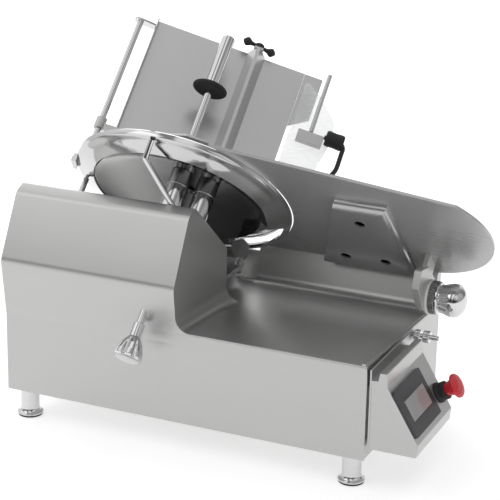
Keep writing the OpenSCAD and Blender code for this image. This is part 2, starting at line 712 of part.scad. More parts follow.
module power_inlet() color("black") place() translate([0, body_depth / 2, 60]) difference() {
    union() {
        translate([-3, -25, -14]) cube([3 - eps, 50, 28]);
        translate([-1, -22, -11]) cube([19 + sheet, 44, 22]);
    }
    translate([-4, -12, -8]) cube([3, 24, 16]);
}

// ---- carriage --------------------------------------------------------------

module rail_axes() for (z = [rail_low_z, rail_high_z])
    place() translate([0, rail_y, z]) rotate([0, 90, 0]) children();

module carriage_rails() color("silver") rail_axes() translate([0, 0, rail_start + 4])
    cylinder(h = rail_end - rail_start - 8, d = rail_d);

module rail_brackets() color("gray") difference() {
    place() for (x = [rail_start, rail_end - 14]) translate([x, body_depth + eps, rail_low_z - 22])
        cube([14, rail_y - body_depth + 14, rail_high_z - rail_low_z + 44]);
    rail_axes() translate([0, 0, rail_start + 4 - eps])
        cylinder(h = rail_end - rail_start - 8 + 2 * eps, d = rail_d + 2 * fit_clear);
}

module rail_cover() color("silver") place() translate([rail_start - 8, 0, 0]) {
    y0 = body_depth + eps;
    y1 = rail_y + 20;
    z0 = rail_low_z - 26;
    z1 = rail_high_z + 36;
    along_x(0, rail_end - rail_start + 14) polygon([[y0, z0], [y1, z0], [y1, z1], [y1 - sheet, z1],
        [y1 - sheet, z0 + sheet], [y0, z0 + sheet]]);
    for (x = [0, rail_end - rail_start + 12])
        along_x(x, x + sheet) translate([y0, z0]) square([y1 - y0, z1 - z0]);
}

module carriage_block() color("gray") difference() {
    place() translate([block_x, rail_y - 15, rail_low_z - 14])
        cube([block_w, 30, rail_high_z - rail_low_z + 30]);
    rail_axes() translate([0, 0, block_x - 1]) cylinder(h = block_w + 2, d = rail_d + 2 * fit_clear);
}

// A point just under the table's floor, across it by a, in knife coordinates
function under_table(a) = let (d = floor_down + sheet + 2)
    [a * cos(table_tilt) - d * sin(table_tilt), a * sin(table_tilt) + d * cos(table_tilt)];

module carriage_arm() color("silver") {
    left = block_x - knife_x;
    right = left + block_w;
    foot = arm_foot_down + 24;
    place() translate([block_x, rail_y - 15, rail_high_z + 16 + eps]) cube([block_w, 30, 34]);
    at_knife() translate([0, 0, arm_low + knife_plane]) linear_extrude(arm_t) polygon(rounded([
        concat(under_table(-84), 8), [left, foot, 4], [right, foot, 4], [right, arm_top_down + 60, 20],
        concat(under_table(24), 8)]));
}

module product_table() color("silver") at_table() {
    translate([table_left, floor_down, table_low_z]) cube([table_w, sheet, table_len]);
    translate([table_left, floor_down - 10, table_low_z]) cube([sheet, 12, table_len]);
    translate([table_left, floor_down, table_high_z - 8]) cube([table_w, 6, 8]);
    for (x = [-92, 22]) translate([x, floor_down + sheet - eps, arm_top_z + eps])
        cube([4, 34, table_len * 0.66]);
    translate([-92, floor_down + sheet - eps, arm_top_z + eps]) cube([118, 34, 4]);
}

module table_panel() color("silver") at_table()
    translate([table_right + seat, floor_down + sheet, table_high_z]) rotate([90, 0, 0]) linear_extrude(sheet)
         polygon([[0, 0], [33, 0], [33, -84], [0, -108]]);

module guide_rod() color("silver") at_table() {
    translate([rod_across, rod_up, table_low_z + 2]) cylinder(h = table_len - 20, d = guide_d);
    for (z = [table_low_z, table_high_z - 20]) translate([0, 0, z]) linear_extrude(4)
        polygon(rounded([[rod_across - 11, rod_up - 9, 8], [table_left - eps, rod_up - 4, 0],
            [table_left - eps, floor_down + 1, 0], [rod_across - 11, rod_up + 9, 8]]));
}

module pusher_slider() color("silver") at_table() {
    difference() {
        translate([rod_across, rod_up, slider_low]) cylinder(h = 20, d = 18);
        translate([rod_across, rod_up, slider_low - 1]) cylinder(h = 22, d = guide_d + 2 * fit_clear);
    }
    difference() {
        translate([0, 0, slider_low - eps])
            bar([rod_across + 8, rod_up - 5], [pusher_foot + 6, pusher_up + 38], 12, 8);
        translate([rod_across, rod_up, slider_low - 1]) cylinder(h = 22, d = guide_d + 1);
    }
}

module pusher_plate() color("gray") at_table() difference() {
    union() {
        translate([0, 0, pusher_low]) linear_extrude(pusher_t) polygon(rounded([
            [pusher_foot, pusher_up + 24, 6], [-26, pusher_up - 24, 6], [14, pusher_up - 24, 6],
            [14, pusher_up + 52, 6], [pusher_foot, pusher_up + 52, 6]]));
        for (x = [pusher_foot + 12 : 16 : 8], y = [pusher_up + 30, pusher_up + 44]) pusher_tooth(x, y);
        for (x = [-16, 4], y = [pusher_up - 14, pusher_up + 12]) pusher_tooth(x, y);
    }
    translate([pusher_across, pusher_up, pusher_low - 1]) cylinder(h = 40, d = push_rod_d + 2 * fit_clear);
}

module pusher_tooth(x, y) translate([x, y, pusher_low - 7]) cylinder(h = 7.5, d1 = 1, d2 = 4, $fn = 16);

module pusher_disc() color("black") at_table() translate([pusher_across, pusher_up, pusher_low + 106])
    difference() {
        rotate_extrude() polygon([[0, 0], [26, -2], [30, 1], [30, 4], [26, 6], [0, 8]]);
        translate([0, 0, -9]) cylinder(h = 26, d = push_rod_d + 2 * fit_clear);
    }

module pusher_handle() color("silver") at_table() translate([pusher_across, pusher_up, 0]) {
    translate([0, 0, pusher_low]) cylinder(h = 212, d = push_rod_d);
    translate([0, 0, pusher_low + 115]) cylinder(h = 98, d = 23);
}

module fence() color("silver") at_table() translate([fence_left + fence_w / 2, 0, table_low_z + 2]) {
    foot = fence_w / 2;
    base = floor_down - seat;
    linear_extrude(table_len) polygon([[-foot, base], [-3, -6], [3, -6], [foot, base], [foot - 2.6, base],
        [1.5, -4], [-1.5, -4], [2.6 - foot, base]]);
    translate([0, 8, table_len]) difference() {
        translate([-8, -10, 0]) cube([16, 28, 4]);
        translate([0, 0, -1]) cylinder(h = 10, d = wing_d + 2 * fit_clear);
    }
}

module wing_knob() color("black") at_table() translate([fence_left + fence_w / 2, 8, table_high_z + 7]) {
    translate([0, 0, -14]) cylinder(h = 20, d = wing_d);
    cylinder(h = 12, d = 17);
    rotate([0, 0, 14]) for (m = [0, 1]) mirror([m, 0, 0]) {
        translate([24, 0, 7]) scale([1, 0.55, 1.2]) sphere(r = 8);
        translate([0, -3, 1]) cube([24, 6, 8]);
    }
}

module clear_guard() color("lightblue", 0.4) at_table() translate([table_right + 6, floor_down - 8, 0])
    rotate([90, 0, 0]) linear_extrude(4) polygon(rounded([[0, 60, 4], [56, 84, 10], [76, 190, 10],
        [70, 220, 10], [34, table_high_z - 40, 6], [0, table_high_z - 14, 6]]));

module guard_tube() color("silver") at_table() {
    translate([table_right + 42, -2, table_high_z - 116]) cylinder(h = 116, d = 8);
    translate([table_right + 20, -6, table_high_z - 140]) cube([46, 10, 22]);
}

module handle_axis() at_table() translate([table_right + handle_x, -4, handle_z]) rotate([0, 90, 0])
    children();

module carriage_handle() color("black") handle_axis() difference() {
    cylinder(h = handle_len, d = grip_d);
    translate([0, 0, -1]) cylinder(h = handle_len + 2, d = lever_d + 2 * fit_clear);
}

module handle_lever() color("black") {
    handle_axis() translate([0, 0, -3]) cylinder(h = handle_len + 5, d = lever_d);
    at_table() translate([table_right, -10, 92]) {
        translate([handle_x + handle_len + seat, 0, 8]) cube([6, 12, handle_z - 84]);
        translate([-4, 0, 0]) cube([handle_x + handle_len + seat + 10, 12, 8.5]);
        translate([-4, 0, 0]) cube([9, floor_down + 10 - eps, 8.5]);
    }
}

main_cover();
left_end_panel();
right_end_panel();
bottom_plate();
base_frame();
feet();
foot_pads();
motor_plate();
knife_motor();
motor_pulley();
knife_pulley();
drive_belt();
knife_shaft();
knife_bearings();
shaft_housing();
pillars();
pillar_caps();
knife_shield();
knife();
knife_screws();
knife_cover();
ring_guard();
ring_posts();
guard_rod();
slice_deflector();
deflector_bracket();
gauge_plate();
gauge_bracket();
gauge_bolts();
gauge_tongue();
gauge_lug();
dial_plate();
knob_collar();
thickness_knob();
release_knob();
latch_knob();
console_box();
console_bezel();
console_screen();
stop_collar();
stop_button();
power_inlet();
carriage_rails();
rail_brackets();
rail_cover();
carriage_block();
carriage_arm();
product_table();
table_panel();
guide_rod();
pusher_slider();
pusher_plate();
pusher_disc();
pusher_handle();
fence();
wing_knob();
clear_guard();
guard_tube();
carriage_handle();
handle_lever();
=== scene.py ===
"""A meat slicer with a leaning knife, dressed and lit for a studio picture.

Sizes are metres. X runs along the front, Y to the back and Z up, as in the frame.
"""

import json
import logging
import math
from dataclasses import dataclass, field
from enum import Enum
from typing import Callable, Sequence

import bmesh
import bpy
import numpy as np
from mathutils import Matrix, Vector


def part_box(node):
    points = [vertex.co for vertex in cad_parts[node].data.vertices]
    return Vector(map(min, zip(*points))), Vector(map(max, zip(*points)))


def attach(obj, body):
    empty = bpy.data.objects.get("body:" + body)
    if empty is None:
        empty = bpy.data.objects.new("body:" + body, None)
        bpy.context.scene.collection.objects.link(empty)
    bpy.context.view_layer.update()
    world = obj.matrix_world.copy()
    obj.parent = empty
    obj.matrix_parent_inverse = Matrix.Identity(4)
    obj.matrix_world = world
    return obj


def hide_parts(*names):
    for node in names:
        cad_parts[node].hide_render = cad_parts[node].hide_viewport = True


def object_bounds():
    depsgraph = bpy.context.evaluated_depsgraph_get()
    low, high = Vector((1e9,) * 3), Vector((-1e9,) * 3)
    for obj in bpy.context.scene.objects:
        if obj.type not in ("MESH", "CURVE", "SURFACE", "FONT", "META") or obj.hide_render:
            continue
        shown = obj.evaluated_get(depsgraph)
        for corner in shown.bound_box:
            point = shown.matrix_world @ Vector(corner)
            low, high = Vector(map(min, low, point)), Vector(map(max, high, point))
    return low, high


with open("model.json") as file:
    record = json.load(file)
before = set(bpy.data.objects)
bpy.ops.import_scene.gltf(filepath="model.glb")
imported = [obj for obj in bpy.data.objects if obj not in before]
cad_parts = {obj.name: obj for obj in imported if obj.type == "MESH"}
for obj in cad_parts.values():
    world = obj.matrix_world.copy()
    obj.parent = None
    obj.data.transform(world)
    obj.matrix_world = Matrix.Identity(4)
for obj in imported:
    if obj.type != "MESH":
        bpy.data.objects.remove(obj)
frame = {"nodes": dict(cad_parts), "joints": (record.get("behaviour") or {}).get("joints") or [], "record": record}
CAD_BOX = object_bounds()
LOG = logging.getLogger("slicer")
MM = 0.001
Swell = Callable[[np.ndarray, np.ndarray], np.ndarray]


# ---- frames of reference ---------------------------------------------------


def unit(v: Sequence[float]) -> np.ndarray:
    """The vector v scaled to length one."""
    a = np.asarray(v, float)
    return a / np.linalg.norm(a)


def joint(name: str) -> dict:
    """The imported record's joint of that name."""
    return next(j for j in frame["joints"] if j["name"] == name)


def body_of(node: str) -> str:
    """The body that a CAD node belongs to."""
    bodies = frame["record"]["behaviour"]["bodies"]
    return next(b for b, nodes in bodies.items() if node in nodes)


def corners(node: str) -> tuple[np.ndarray, np.ndarray]:
    """The lowest and highest corner of a CAD node, as arrays."""
    low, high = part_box(node)
    return np.array(low), np.array(high)


@dataclass(frozen=True)
class Axes:
    """A place with three axes at right angles, to build a piece in."""

    origin: np.ndarray
    x: np.ndarray
    y: np.ndarray
    z: np.ndarray

    def out(self, points: np.ndarray) -> np.ndarray:
        """Points given along these axes, in the row frame.

        Args:
            points: an array whose last axis holds x, y and z in metres.

        Returns:
            origin + x * X + y * Y + z * Z for each point.
        """
        return self.origin + points @ np.stack([self.x, self.y, self.z])

    def moved(self, x: float = 0, y: float = 0, z: float = 0) -> "Axes":
        """The same axes at a point given along them."""
        return Axes(self.out(np.array([x, y, z])), self.x, self.y, self.z)

    def turned(self, degrees: float) -> "Axes":
        """The axes turned about their own Z by an angle."""
        c, s = math.cos(math.radians(degrees)), math.sin(math.radians(degrees))
        return Axes(self.origin, c * self.x + s * self.y, c * self.y - s * self.x, self.z)


def axes_on(name: str, x_hint: Sequence[float]) -> Axes:
    """Axes on a joint: Z along it, and X as near a hint as a right angle allows.

    Args:
        name: the joint's name.
        x_hint: the direction that X should lean towards.

    Returns:
        The axes, with their origin at the joint's position, or at zero for a slide.
    """
    told = joint(name)
    z = unit(told["axis"])
    x = unit(np.asarray(x_hint, float) - np.dot(x_hint, z) * z)
    return Axes(np.asarray(told.get("pos_m", (0, 0, 0)), float), x, np.cross(z, x), z)


def local(axes: Axes, node: str) -> tuple[np.ndarray, np.ndarray]:
    """The lowest and highest corner of a CAD node along any axes, in metres.

    Args:
        axes: the axes to measure along.
        node: the CAD node.

    Returns:
        Two arrays of x, y and z along the axes, from their origin.
    """
    mesh = frame["nodes"][node].data
    flat = np.empty(len(mesh.vertices) * 3)
    mesh.vertices.foreach_get("co", flat)
    spots = (flat.reshape(-1, 3) - axes.origin) @ np.stack([axes.x, axes.y, axes.z]).T
    return spots.min(0), spots.max(0)


ACROSS, DEEP, UP = np.eye(3)
KNIFE = axes_on("knife_spin", ACROSS)
TABLE_TILT = 26.0
TABLE = KNIFE.turned(TABLE_TILT)


# ---- shader nodes ----------------------------------------------------------


class Wire:
    """A shader socket that takes part in Python arithmetic."""

    def __init__(self, make: "Nodes", socket: bpy.types.NodeSocket) -> None:
        """Keeps the socket and the maker that adds nodes beside it."""
        self.make = make
        self.socket = socket

    def _maths(self, operation: str, *values: "Wire | float") -> "Wire":
        """The result of a Math node on these values."""
        return self.make.wire("ShaderNodeMath", {"operation": operation}, dict(enumerate(values)))

    def __add__(self, other: "Wire | float") -> "Wire":
        """self + other."""
        return self._maths("ADD", self, other)

    def __sub__(self, other: "Wire | float") -> "Wire":
        """self - other."""
        return self._maths("SUBTRACT", self, other)

    def __rsub__(self, other: float) -> "Wire":
        """other - self."""
        return self._maths("SUBTRACT", other, self)

    def __mul__(self, other: "Wire | float") -> "Wire":
        """self * other."""
        return self._maths("MULTIPLY", self, other)

    __radd__ = __add__
    __rmul__ = __mul__

    def ramp(self, low: float, high: float) -> "Wire":
        """A smooth step from 0 at low to 1 at high."""
        return self.make.wire("ShaderNodeMapRange", {"interpolation_type": "SMOOTHSTEP"},
                              {"Value": self, "From Min": low, "From Max": high})


class Nodes:
    """Adds nodes to one shader tree."""

    def __init__(self, tree: bpy.types.NodeTree) -> None:
        """Empties the tree and keeps it."""
        self.tree = tree
        tree.nodes.clear()

    def add(self, kind: str, settings: dict | None = None, values: dict | None = None) -> bpy.types.Node:
        """Adds a node, sets its settings and then fills its sockets.

        Args:
            kind: the node's type.
            settings: the node's own properties, by name.
            values: numbers, colours, sockets or Wires, by socket name or number.

        Returns:
            The new node.
        """
        node = self.tree.nodes.new(kind)
        for key, setting in (settings or {}).items():
            setattr(node, key, setting)
        for key, value in (values or {}).items():
            source = value.socket if isinstance(value, Wire) else value
            if isinstance(source, bpy.types.NodeSocket):
                self.tree.links.new(source, node.inputs[key])
            else:
                node.inputs[key].default_value = source
        return node

    def wire(self, kind: str, settings: dict | None = None, values: dict | None = None,
             output: int | str = 0) -> Wire:
        """Adds a node and returns one of its outputs as a Wire."""
        return Wire(self, self.add(kind, settings, values).outputs[output])

    def place(self, turn: Sequence[float] = (0, 0, 0), stretch: Sequence[float] = (1, 1, 1)) -> Wire:
        """Object coordinates, turned by angles in degrees and then stretched."""
        spot = self.wire("ShaderNodeTexCoord", output="Object")
        turned = self.wire("ShaderNodeMapping", {"vector_type": "POINT"},
                           {"Vector": spot, "Rotation": [math.radians(a) for a in turn]})
        return self.wire("ShaderNodeMapping", {"vector_type": "POINT"}, {"Vector": turned, "Scale": stretch})

    def noise(self, spot: Wire, scale: float, detail: float = 3.0, rough: float = 0.5) -> Wire:
        """Fractal noise between 0 and 1, at a place."""
        return self.wire("ShaderNodeTexNoise", None,
                         {"Vector": spot, "Scale": scale, "Detail": detail, "Roughness": rough})

    def relief(self, height: Wire, strength: float) -> Wire:
        """The normals of a surface whose height varies by up to 0.4 mm, at this strength."""
        return self.wire("ShaderNodeBump", None, {"Strength": strength, "Distance": 0.0004, "Height": height})

    def blend(self, share: "Wire | float", a: Sequence[float], b: Sequence[float]) -> Wire:
        """Colour a where share is 0 and colour b where it is 1."""
        return self.wire("ShaderNodeMix", {"data_type": "RGBA"},
                         {"Factor": share, 6: (*a, 1), 7: (*b, 1)}, output=2)


# ---- finishes --------------------------------------------------------------


class Grain(Enum):
    """Which way a brushed surface is brushed, as turns that bring the brushing onto X."""

    ALONG = (0.0, 0.0, 0.0)
    TABLE = (-45.0, 0.0, 0.0)


@dataclass(frozen=True)
class Finish:
    """A surface finish that can be put on pieces.

    Attributes:
        name: the material's name.
        slot: the record's material slot that it stands for.
    """

    name: str
    slot: str

    def shade(self, make: Nodes) -> dict:
        """The Principled shader's sockets and what they get."""
        raise NotImplementedError

    def material(self) -> bpy.types.Material:
        """The material, made the first time that it is asked for."""
        known = bpy.data.materials.get(self.name)
        if known:
            return known
        made = bpy.data.materials.new(self.name)
        made.use_nodes = True
        make = Nodes(made.node_tree)
        shader = make.add("ShaderNodeBsdfPrincipled", None, self.shade(make))
        make.add("ShaderNodeOutputMaterial", None, {"Surface": shader.outputs[0]})
        return made

    def put_on(self, piece: bpy.types.Object) -> bpy.types.Object:
        """Gives a piece this finish alone.

        Args:
            piece: a mesh object.

        Returns:
            The same piece.
        """
        piece.data.materials.clear()
        piece.data.materials.append(self.material())
        return piece


@dataclass(frozen=True)
class Brushed(Finish):
    """Brushed metal: long fine streaks in its roughness and its relief, and a faint mottle.

    Its satin scatter is the share of light that metal leaves.
    """

    colour: tuple[float, float, float] = (0.66, 0.66, 0.655)
    dark: float = 0.86
    roughness: float = 0.3
    streak: float = 0.1
    grain: Grain = Grain.ALONG
    fineness: float = 2600.0
    relief: float = 0.02
    metal: float = 0.72

    def shade(self, make: Nodes) -> dict:
        """Streaks are noise stretched 60 times along the brushing."""
        fine = make.noise(make.place(self.grain.value, (1 / 60, 1, 1)), self.fineness, 2.0)
        broad = make.noise(make.place(self.grain.value, (1 / 20, 1, 1)), 240.0, 3.0)
        cloud = make.noise(make.place(), 7.0, 2.0)
        colour = make.blend(fine * 0.35 + broad * 0.3 + cloud * 0.35, [c * self.dark for c in self.colour],
                            self.colour)
        bump = make.relief(fine, self.relief)
        return {"Base Color": colour, "Metallic": self.metal, "Normal": bump,
                "Roughness": self.roughness + (fine - 0.5) * self.streak + (cloud - 0.5) * self.streak}


@dataclass(frozen=True)
class Polished(Finish):
    """Polished metal with the faint haze and wipe marks of a part in use."""

    colour: tuple[float, float, float] = (0.66, 0.66, 0.665)
    roughness: float = 0.07
    haze: float = 0.06

    def shade(self, make: Nodes) -> dict:
        """Haze is soft noise in the roughness, and the colour varies by a few parts in a hundred."""
        cloud = make.noise(make.place(), 14.0, 4.0)
        fine = make.noise(make.place(stretch=(1, 4, 4)), 160.0, 2.0)
        colour = make.blend(cloud, [c * 0.93 for c in self.colour], self.colour)
        bump = make.relief(fine, 0.012)
        return {"Base Color": colour, "Metallic": 1.0, "Normal": bump,
                "Roughness": self.roughness + cloud.ramp(0.45, 0.75) * self.haze}


@dataclass(frozen=True)
class Spun(Finish):
    """Metal turned or ground in rings about the knife's axis."""

    colour: tuple[float, float, float] = (0.7, 0.7, 0.7)
    roughness: float = 0.14
    streak: float = 0.08
    relief: float = 0.02

    def shade(self, make: Nodes) -> dict:
        """Rings are noise read at the distance from the axis, which is the length of axis x place."""
        spot = make.wire("ShaderNodeTexCoord", output="Object")
        arm = make.wire("ShaderNodeVectorMath", {"operation": "SUBTRACT"}, {0: spot, 1: tuple(KNIFE.origin)})
        across = make.wire("ShaderNodeVectorMath", {"operation": "CROSS_PRODUCT"},
                           {0: arm, 1: tuple(KNIFE.z)})
        radius = make.wire("ShaderNodeVectorMath", {"operation": "LENGTH"}, {0: across}, output="Value")
        rings = make.wire("ShaderNodeTexNoise", {"noise_dimensions": "1D"},
                          {"W": radius, "Scale": 2600.0, "Detail": 3.0})
        cloud = make.noise(make.place(), 11.0, 3.0)
        colour = make.blend(rings * 0.4 + cloud * 0.6, [c * 0.88 for c in self.colour], self.colour)
        bump = make.relief(rings, self.relief)
        return {"Base Color": colour, "Metallic": 1.0, "Normal": bump,
                "Roughness": self.roughness + (rings - 0.5) * self.streak + (cloud - 0.5) * 0.05}


@dataclass(frozen=True)
class PaintedReflection(Spun):
    """A mirror finish with a painted reflection: its colour is darkened on its right half to stand in for the dark
    inside of the housing that the shield reflects.
    """

    dark: float = 0.13
    left: float = -0.1
    right: float = 0.03

    def shade(self, make: Nodes) -> dict:
        """The ringed finish with a painted reflection: a colour that falls smoothly from left to right across the
        knife.
        """
        base = super().shade(make)
        parts = make.add("ShaderNodeSeparateXYZ", None, {0: make.wire("ShaderNodeTexCoord", output="Object")})
        # painted dark reflection: the base colour darkens from left to right across the knife
        share = (Wire(make, parts.outputs[0]) - float(KNIFE.origin[0])).ramp(self.left, self.right)
        low = [c * self.dark for c in self.colour]
        return {**base, "Base Color": make.blend(share, [c * 0.85 for c in self.colour], low)}


@dataclass(frozen=True)
class Moulded(Finish):
    """Moulded plastic or rubber with a fine grain."""

    colour: tuple[float, float, float] = (0.02, 0.02, 0.021)
    roughness: float = 0.45
    grain: float = 0.08
    coat: float = 0.0

    def shade(self, make: Nodes) -> dict:
        """The grain is fine noise in the relief, with slow noise in colour and roughness."""
        fine = make.noise(make.place(), 1500.0, 2.0)
        cloud = make.noise(make.place(), 24.0, 3.0)
        colour = make.blend(cloud, [c * 0.82 for c in self.colour], [min(c * 1.12, 1) for c in self.colour])
        bump = make.relief(fine, self.grain)
        return {"Base Color": colour, "Roughness": self.roughness + (cloud - 0.5) * 0.1,
                "Coat Weight": self.coat, "Coat Roughness": 0.08, "Normal": bump}


@dataclass(frozen=True)
class Clear(Finish):
    """Clear acrylic sheet with faint scuffs."""

    colour: tuple[float, float, float] = (0.97, 0.985, 0.98)

    def shade(self, make: Nodes) -> dict:
        """Scuffs are stretched noise in the roughness; most of the light passes straight through."""
        cloud = make.noise(make.place(stretch=(1, 1, 5)), 60.0, 4.0)
        tint = make.blend(cloud, [c * 0.97 for c in self.colour], self.colour)
        return {"Base Color": tint, "Roughness": 0.04 + cloud.ramp(0.5, 0.8) * 0.08,
                "IOR": 1.49, "Alpha": 0.3 + cloud * 0.1}


SHEET = Brushed("satin_sheet", "steel_sheet", colour=(0.55, 0.55, 0.545), roughness=0.33)
SHEET_TABLE = Brushed("satin_sheet_table", "steel_sheet", colour=(0.6, 0.6, 0.6), grain=Grain.TABLE,
                      roughness=0.34)
SHEET_GAUGE = Brushed("satin_gauge", "steel_sheet", colour=(0.5, 0.5, 0.5), roughness=0.3, metal=0.6)
SHEET_FOLD = Brushed("satin_fold", "steel_sheet", colour=(0.46, 0.46, 0.46), roughness=0.2)
MACHINED = Brushed("turned_steel", "steel_machined", colour=(0.6, 0.6, 0.6), roughness=0.24)
CAST = Brushed("cast_alloy", "cast", colour=(0.6, 0.6, 0.59), roughness=0.42, streak=0.05, fineness=900.0,
               relief=0.08)
MIRROR = Spun("mirror_steel", "steel_polished", colour=(0.6, 0.6, 0.6), roughness=0.08, streak=0.03,
              relief=0.008)
# painted reflection: the shield's colour is darkened towards its right half
SHIELD = PaintedReflection("painted_reflection_steel", "steel_polished")
BLADE = Spun("ground_steel", "steel_polished", colour=(0.7, 0.7, 0.7))
CHROME = Polished("bright_chrome", "chrome")
DARK_CHROME = Polished("dark_chrome", "black_plastic", colour=(0.3, 0.3, 0.31), roughness=0.14)
DARK_PAINT = Moulded("dark_paint", "motor", colour=(0.03, 0.032, 0.035), roughness=0.4, grain=0.15)
IRON = Moulded("dark_iron", "iron", colour=(0.05, 0.05, 0.052), roughness=0.55, grain=0.3)
BLACK = Moulded("black_plastic", "black_plastic", colour=(0.014, 0.014, 0.015), roughness=0.36)
BEZEL = Moulded("dark_bezel", "bezel", colour=(0.038, 0.038, 0.043), roughness=0.34)
SCREEN = Moulded("screen_glass", "screen", colour=(0.36, 0.35, 0.35), roughness=0.08, grain=0.0, coat=1.0)
WHITE = Moulded("white_plastic", "white_plastic", colour=(0.83, 0.83, 0.82), roughness=0.4)
RED = Moulded("red_plastic", "red_plastic", colour=(0.7, 0.03, 0.028), roughness=0.28, grain=0.03, coat=0.4)
SOLE = Moulded("rubber", "rubber", colour=(0.025, 0.025, 0.025), roughness=0.75, grain=0.3)
ACRYLIC = Clear("clear_acrylic", "clear")


# ---- shapes ----------------------------------------------------------------


def placed(piece: bpy.types.Object, finish: Finish, body: str,
           replaced: Sequence[str] = ()) -> bpy.types.Object:
    """Dresses a piece, ties it to its body and reports it.

    Args:
        piece: the finished object, in place.
        finish: what it is dressed with.
        body: the body that it moves with.
        replaced: the CAD nodes that it stands for.

    Returns:
        The same piece.
    """
    finish.put_on(piece)
    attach(piece, body)
    if replaced:
        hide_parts(*replaced)
    LOG.info("%s: %d faces on %s", piece.name, len(piece.data.polygons), body)
    return piece


def crease(mesh: bpy.types.Mesh, degrees: float) -> None:
    """Shades a mesh smooth, but for edges sharper than an angle."""
    work = bmesh.new()
    work.from_mesh(mesh)
    limit = math.radians(degrees)
    for face in work.faces:
        face.smooth = True
    for edge in work.edges:
        edge.smooth = len(edge.link_faces) == 2 and edge.calc_face_angle(0) < limit
    work.to_mesh(mesh)
    work.free()


def arced(points: Sequence[Sequence[float]], radii: Sequence[float], steps: int = 7) -> np.ndarray:
    """A path whose inner corners are arcs, in two or three dimensions.

    A corner b with unit sides u and w and half angle h is cut r / tan(h) along each side, and the
    arc runs about b + (u + w) / |u + w| * r / sin(h).

    Args:
        points: the path's corners.
        radii: the arc's radius at each corner; the two ends are left as they are.
        steps: how many points each arc gets.

    Returns:
        The points of the path, as an array.
    """
    spots = np.asarray(points, float)
    rows = [spots[:1]]
    for a, b, c, r in zip(spots[:-2], spots[1:-1], spots[2:], radii[1:-1]):
        u, w = unit(a - b), unit(c - b)
        half = math.acos(max(-1.0, min(1.0, float(u @ w)))) / 2
        if r <= 0 or half > math.pi / 2 - 1e-4:
            rows.append(b[None])
            continue
        middle = b + unit(u + w) * r / math.sin(half)
        start, stop = b + u * r / math.tan(half) - middle, b + w * r / math.tan(half) - middle
        turn, share = math.pi - 2 * half, np.linspace(0, 1, steps)[:, None]
        spoke = np.sin((1 - share) * turn) * start + np.sin(share * turn) * stop
        rows.append(middle + spoke / math.sin(turn))
    rows.append(spots[-1:])
    return np.concatenate(rows)


def skinned(name: str, grid: np.ndarray, loop: bool = False, angle: float = 32.0) -> bpy.types.Object:
    """A closed surface over a grid of points that is round in its second direction.

    Args:
        name: the object's name.
        grid: points of shape (rows, columns, 3); the columns close on themselves.
        loop: True if the rows close too; otherwise the end rows have shrunk to points.
        angle: the sharpest bend, in degrees, that is shaded as a curve.

    Returns:
        The object, with its poles merged and its faces turned outwards.
    """
    rows, columns = grid.shape[:2]
    index = np.arange(rows * columns).reshape(rows, columns)
    here = index if loop else index[:-1]
    above = np.roll(index, -1, 0) if loop else index[1:]
    quads = np.stack([here, np.roll(here, -1, 1), np.roll(above, -1, 1), above], -1).reshape(-1, 4)
    mesh = bpy.data.meshes.new(name)
    mesh.from_pydata(grid.reshape(-1, 3).tolist(), [], quads.tolist())
    work = bmesh.new()
    work.from_mesh(mesh)
    bmesh.ops.remove_doubles(work, verts=work.verts, dist=1e-6)
    bmesh.ops.recalc_face_normals(work, faces=work.faces)
    work.to_mesh(mesh)
    work.free()
    crease(mesh, angle)
    piece = bpy.data.objects.new(name, mesh)
    bpy.context.scene.collection.objects.link(piece)
    return piece


def turned(name: str, axes: Axes, profile: np.ndarray, segments: int = 96, loop: bool = False,
           swell: Swell | None = None) -> bpy.types.Object:
    """A surface turned about the axes' Z.

    A point is (r cos t, r sin t, h), where (r, h) runs along the profile and t round the axis, and
    swell(t, h) multiplies r where the surface is fluted or knurled.

    Args:
        name: the object's name.
        axes: where it stands.
        profile: rows of radius and height in millimetres.
        segments: how many points go round.
        loop: True if the profile closes on itself.
        swell: what the radius is multiplied by.

    Returns:
        The object.
    """
    angle = np.linspace(0, 2 * math.pi, segments, endpoint=False)[None]
    r, h = profile[:, :1] * MM, profile[:, 1:] * MM
    wide = r * (swell(angle, profile[:, 1:]) if swell else 1.0)
    grid = np.stack([wide * np.cos(angle), wide * np.sin(angle), h + 0 * angle], -1)
    return skinned(name, axes.out(grid), loop)


def piped(name: str, path: np.ndarray, radius: float, segments: int = 28) -> bpy.types.Object:
    """A round bar along a path.

    A ring of the radius is carried along the path on two axes at right angles to it, which turn no
    more than the path does, and each end is closed by a point.

    Args:
        name: the object's name.
        path: the points of its middle line, in metres in the row frame.
        radius: its radius in metres.
        segments: how many points go round.

    Returns:
        The object.
    """
    ahead = np.gradient(path, axis=0)
    ahead /= np.linalg.norm(ahead, axis=1)[:, None]
    side = np.empty_like(path)
    start = np.cross(ahead[0], (0.31, 0.27, 0.91))
    for i, way in enumerate(ahead):
        start = unit(start - (start @ way) * way)
        side[i] = start
    other = np.cross(ahead, side)
    angle = np.linspace(0, 2 * math.pi, segments, endpoint=False)[None, :, None]
    ring = path[:, None] + radius * (np.cos(angle) * side[:, None] + np.sin(angle) * other[:, None])
    ends = [np.repeat(path[i][None, None], segments, 1) for i in (0, -1)]
    return skinned(name, np.concatenate([ends[0], ring, ends[1]]))


def soften(piece: bpy.types.Object, width: float, angle: float) -> None:
    """Gives the edges sharper than an angle in degrees a bevel of two steps, of this width in metres."""
    edge = piece.modifiers.new("edges", "BEVEL")
    edge.width, edge.segments, edge.limit_method = width, 2, "ANGLE"
    edge.angle_limit, edge.harden_normals = math.radians(angle), True


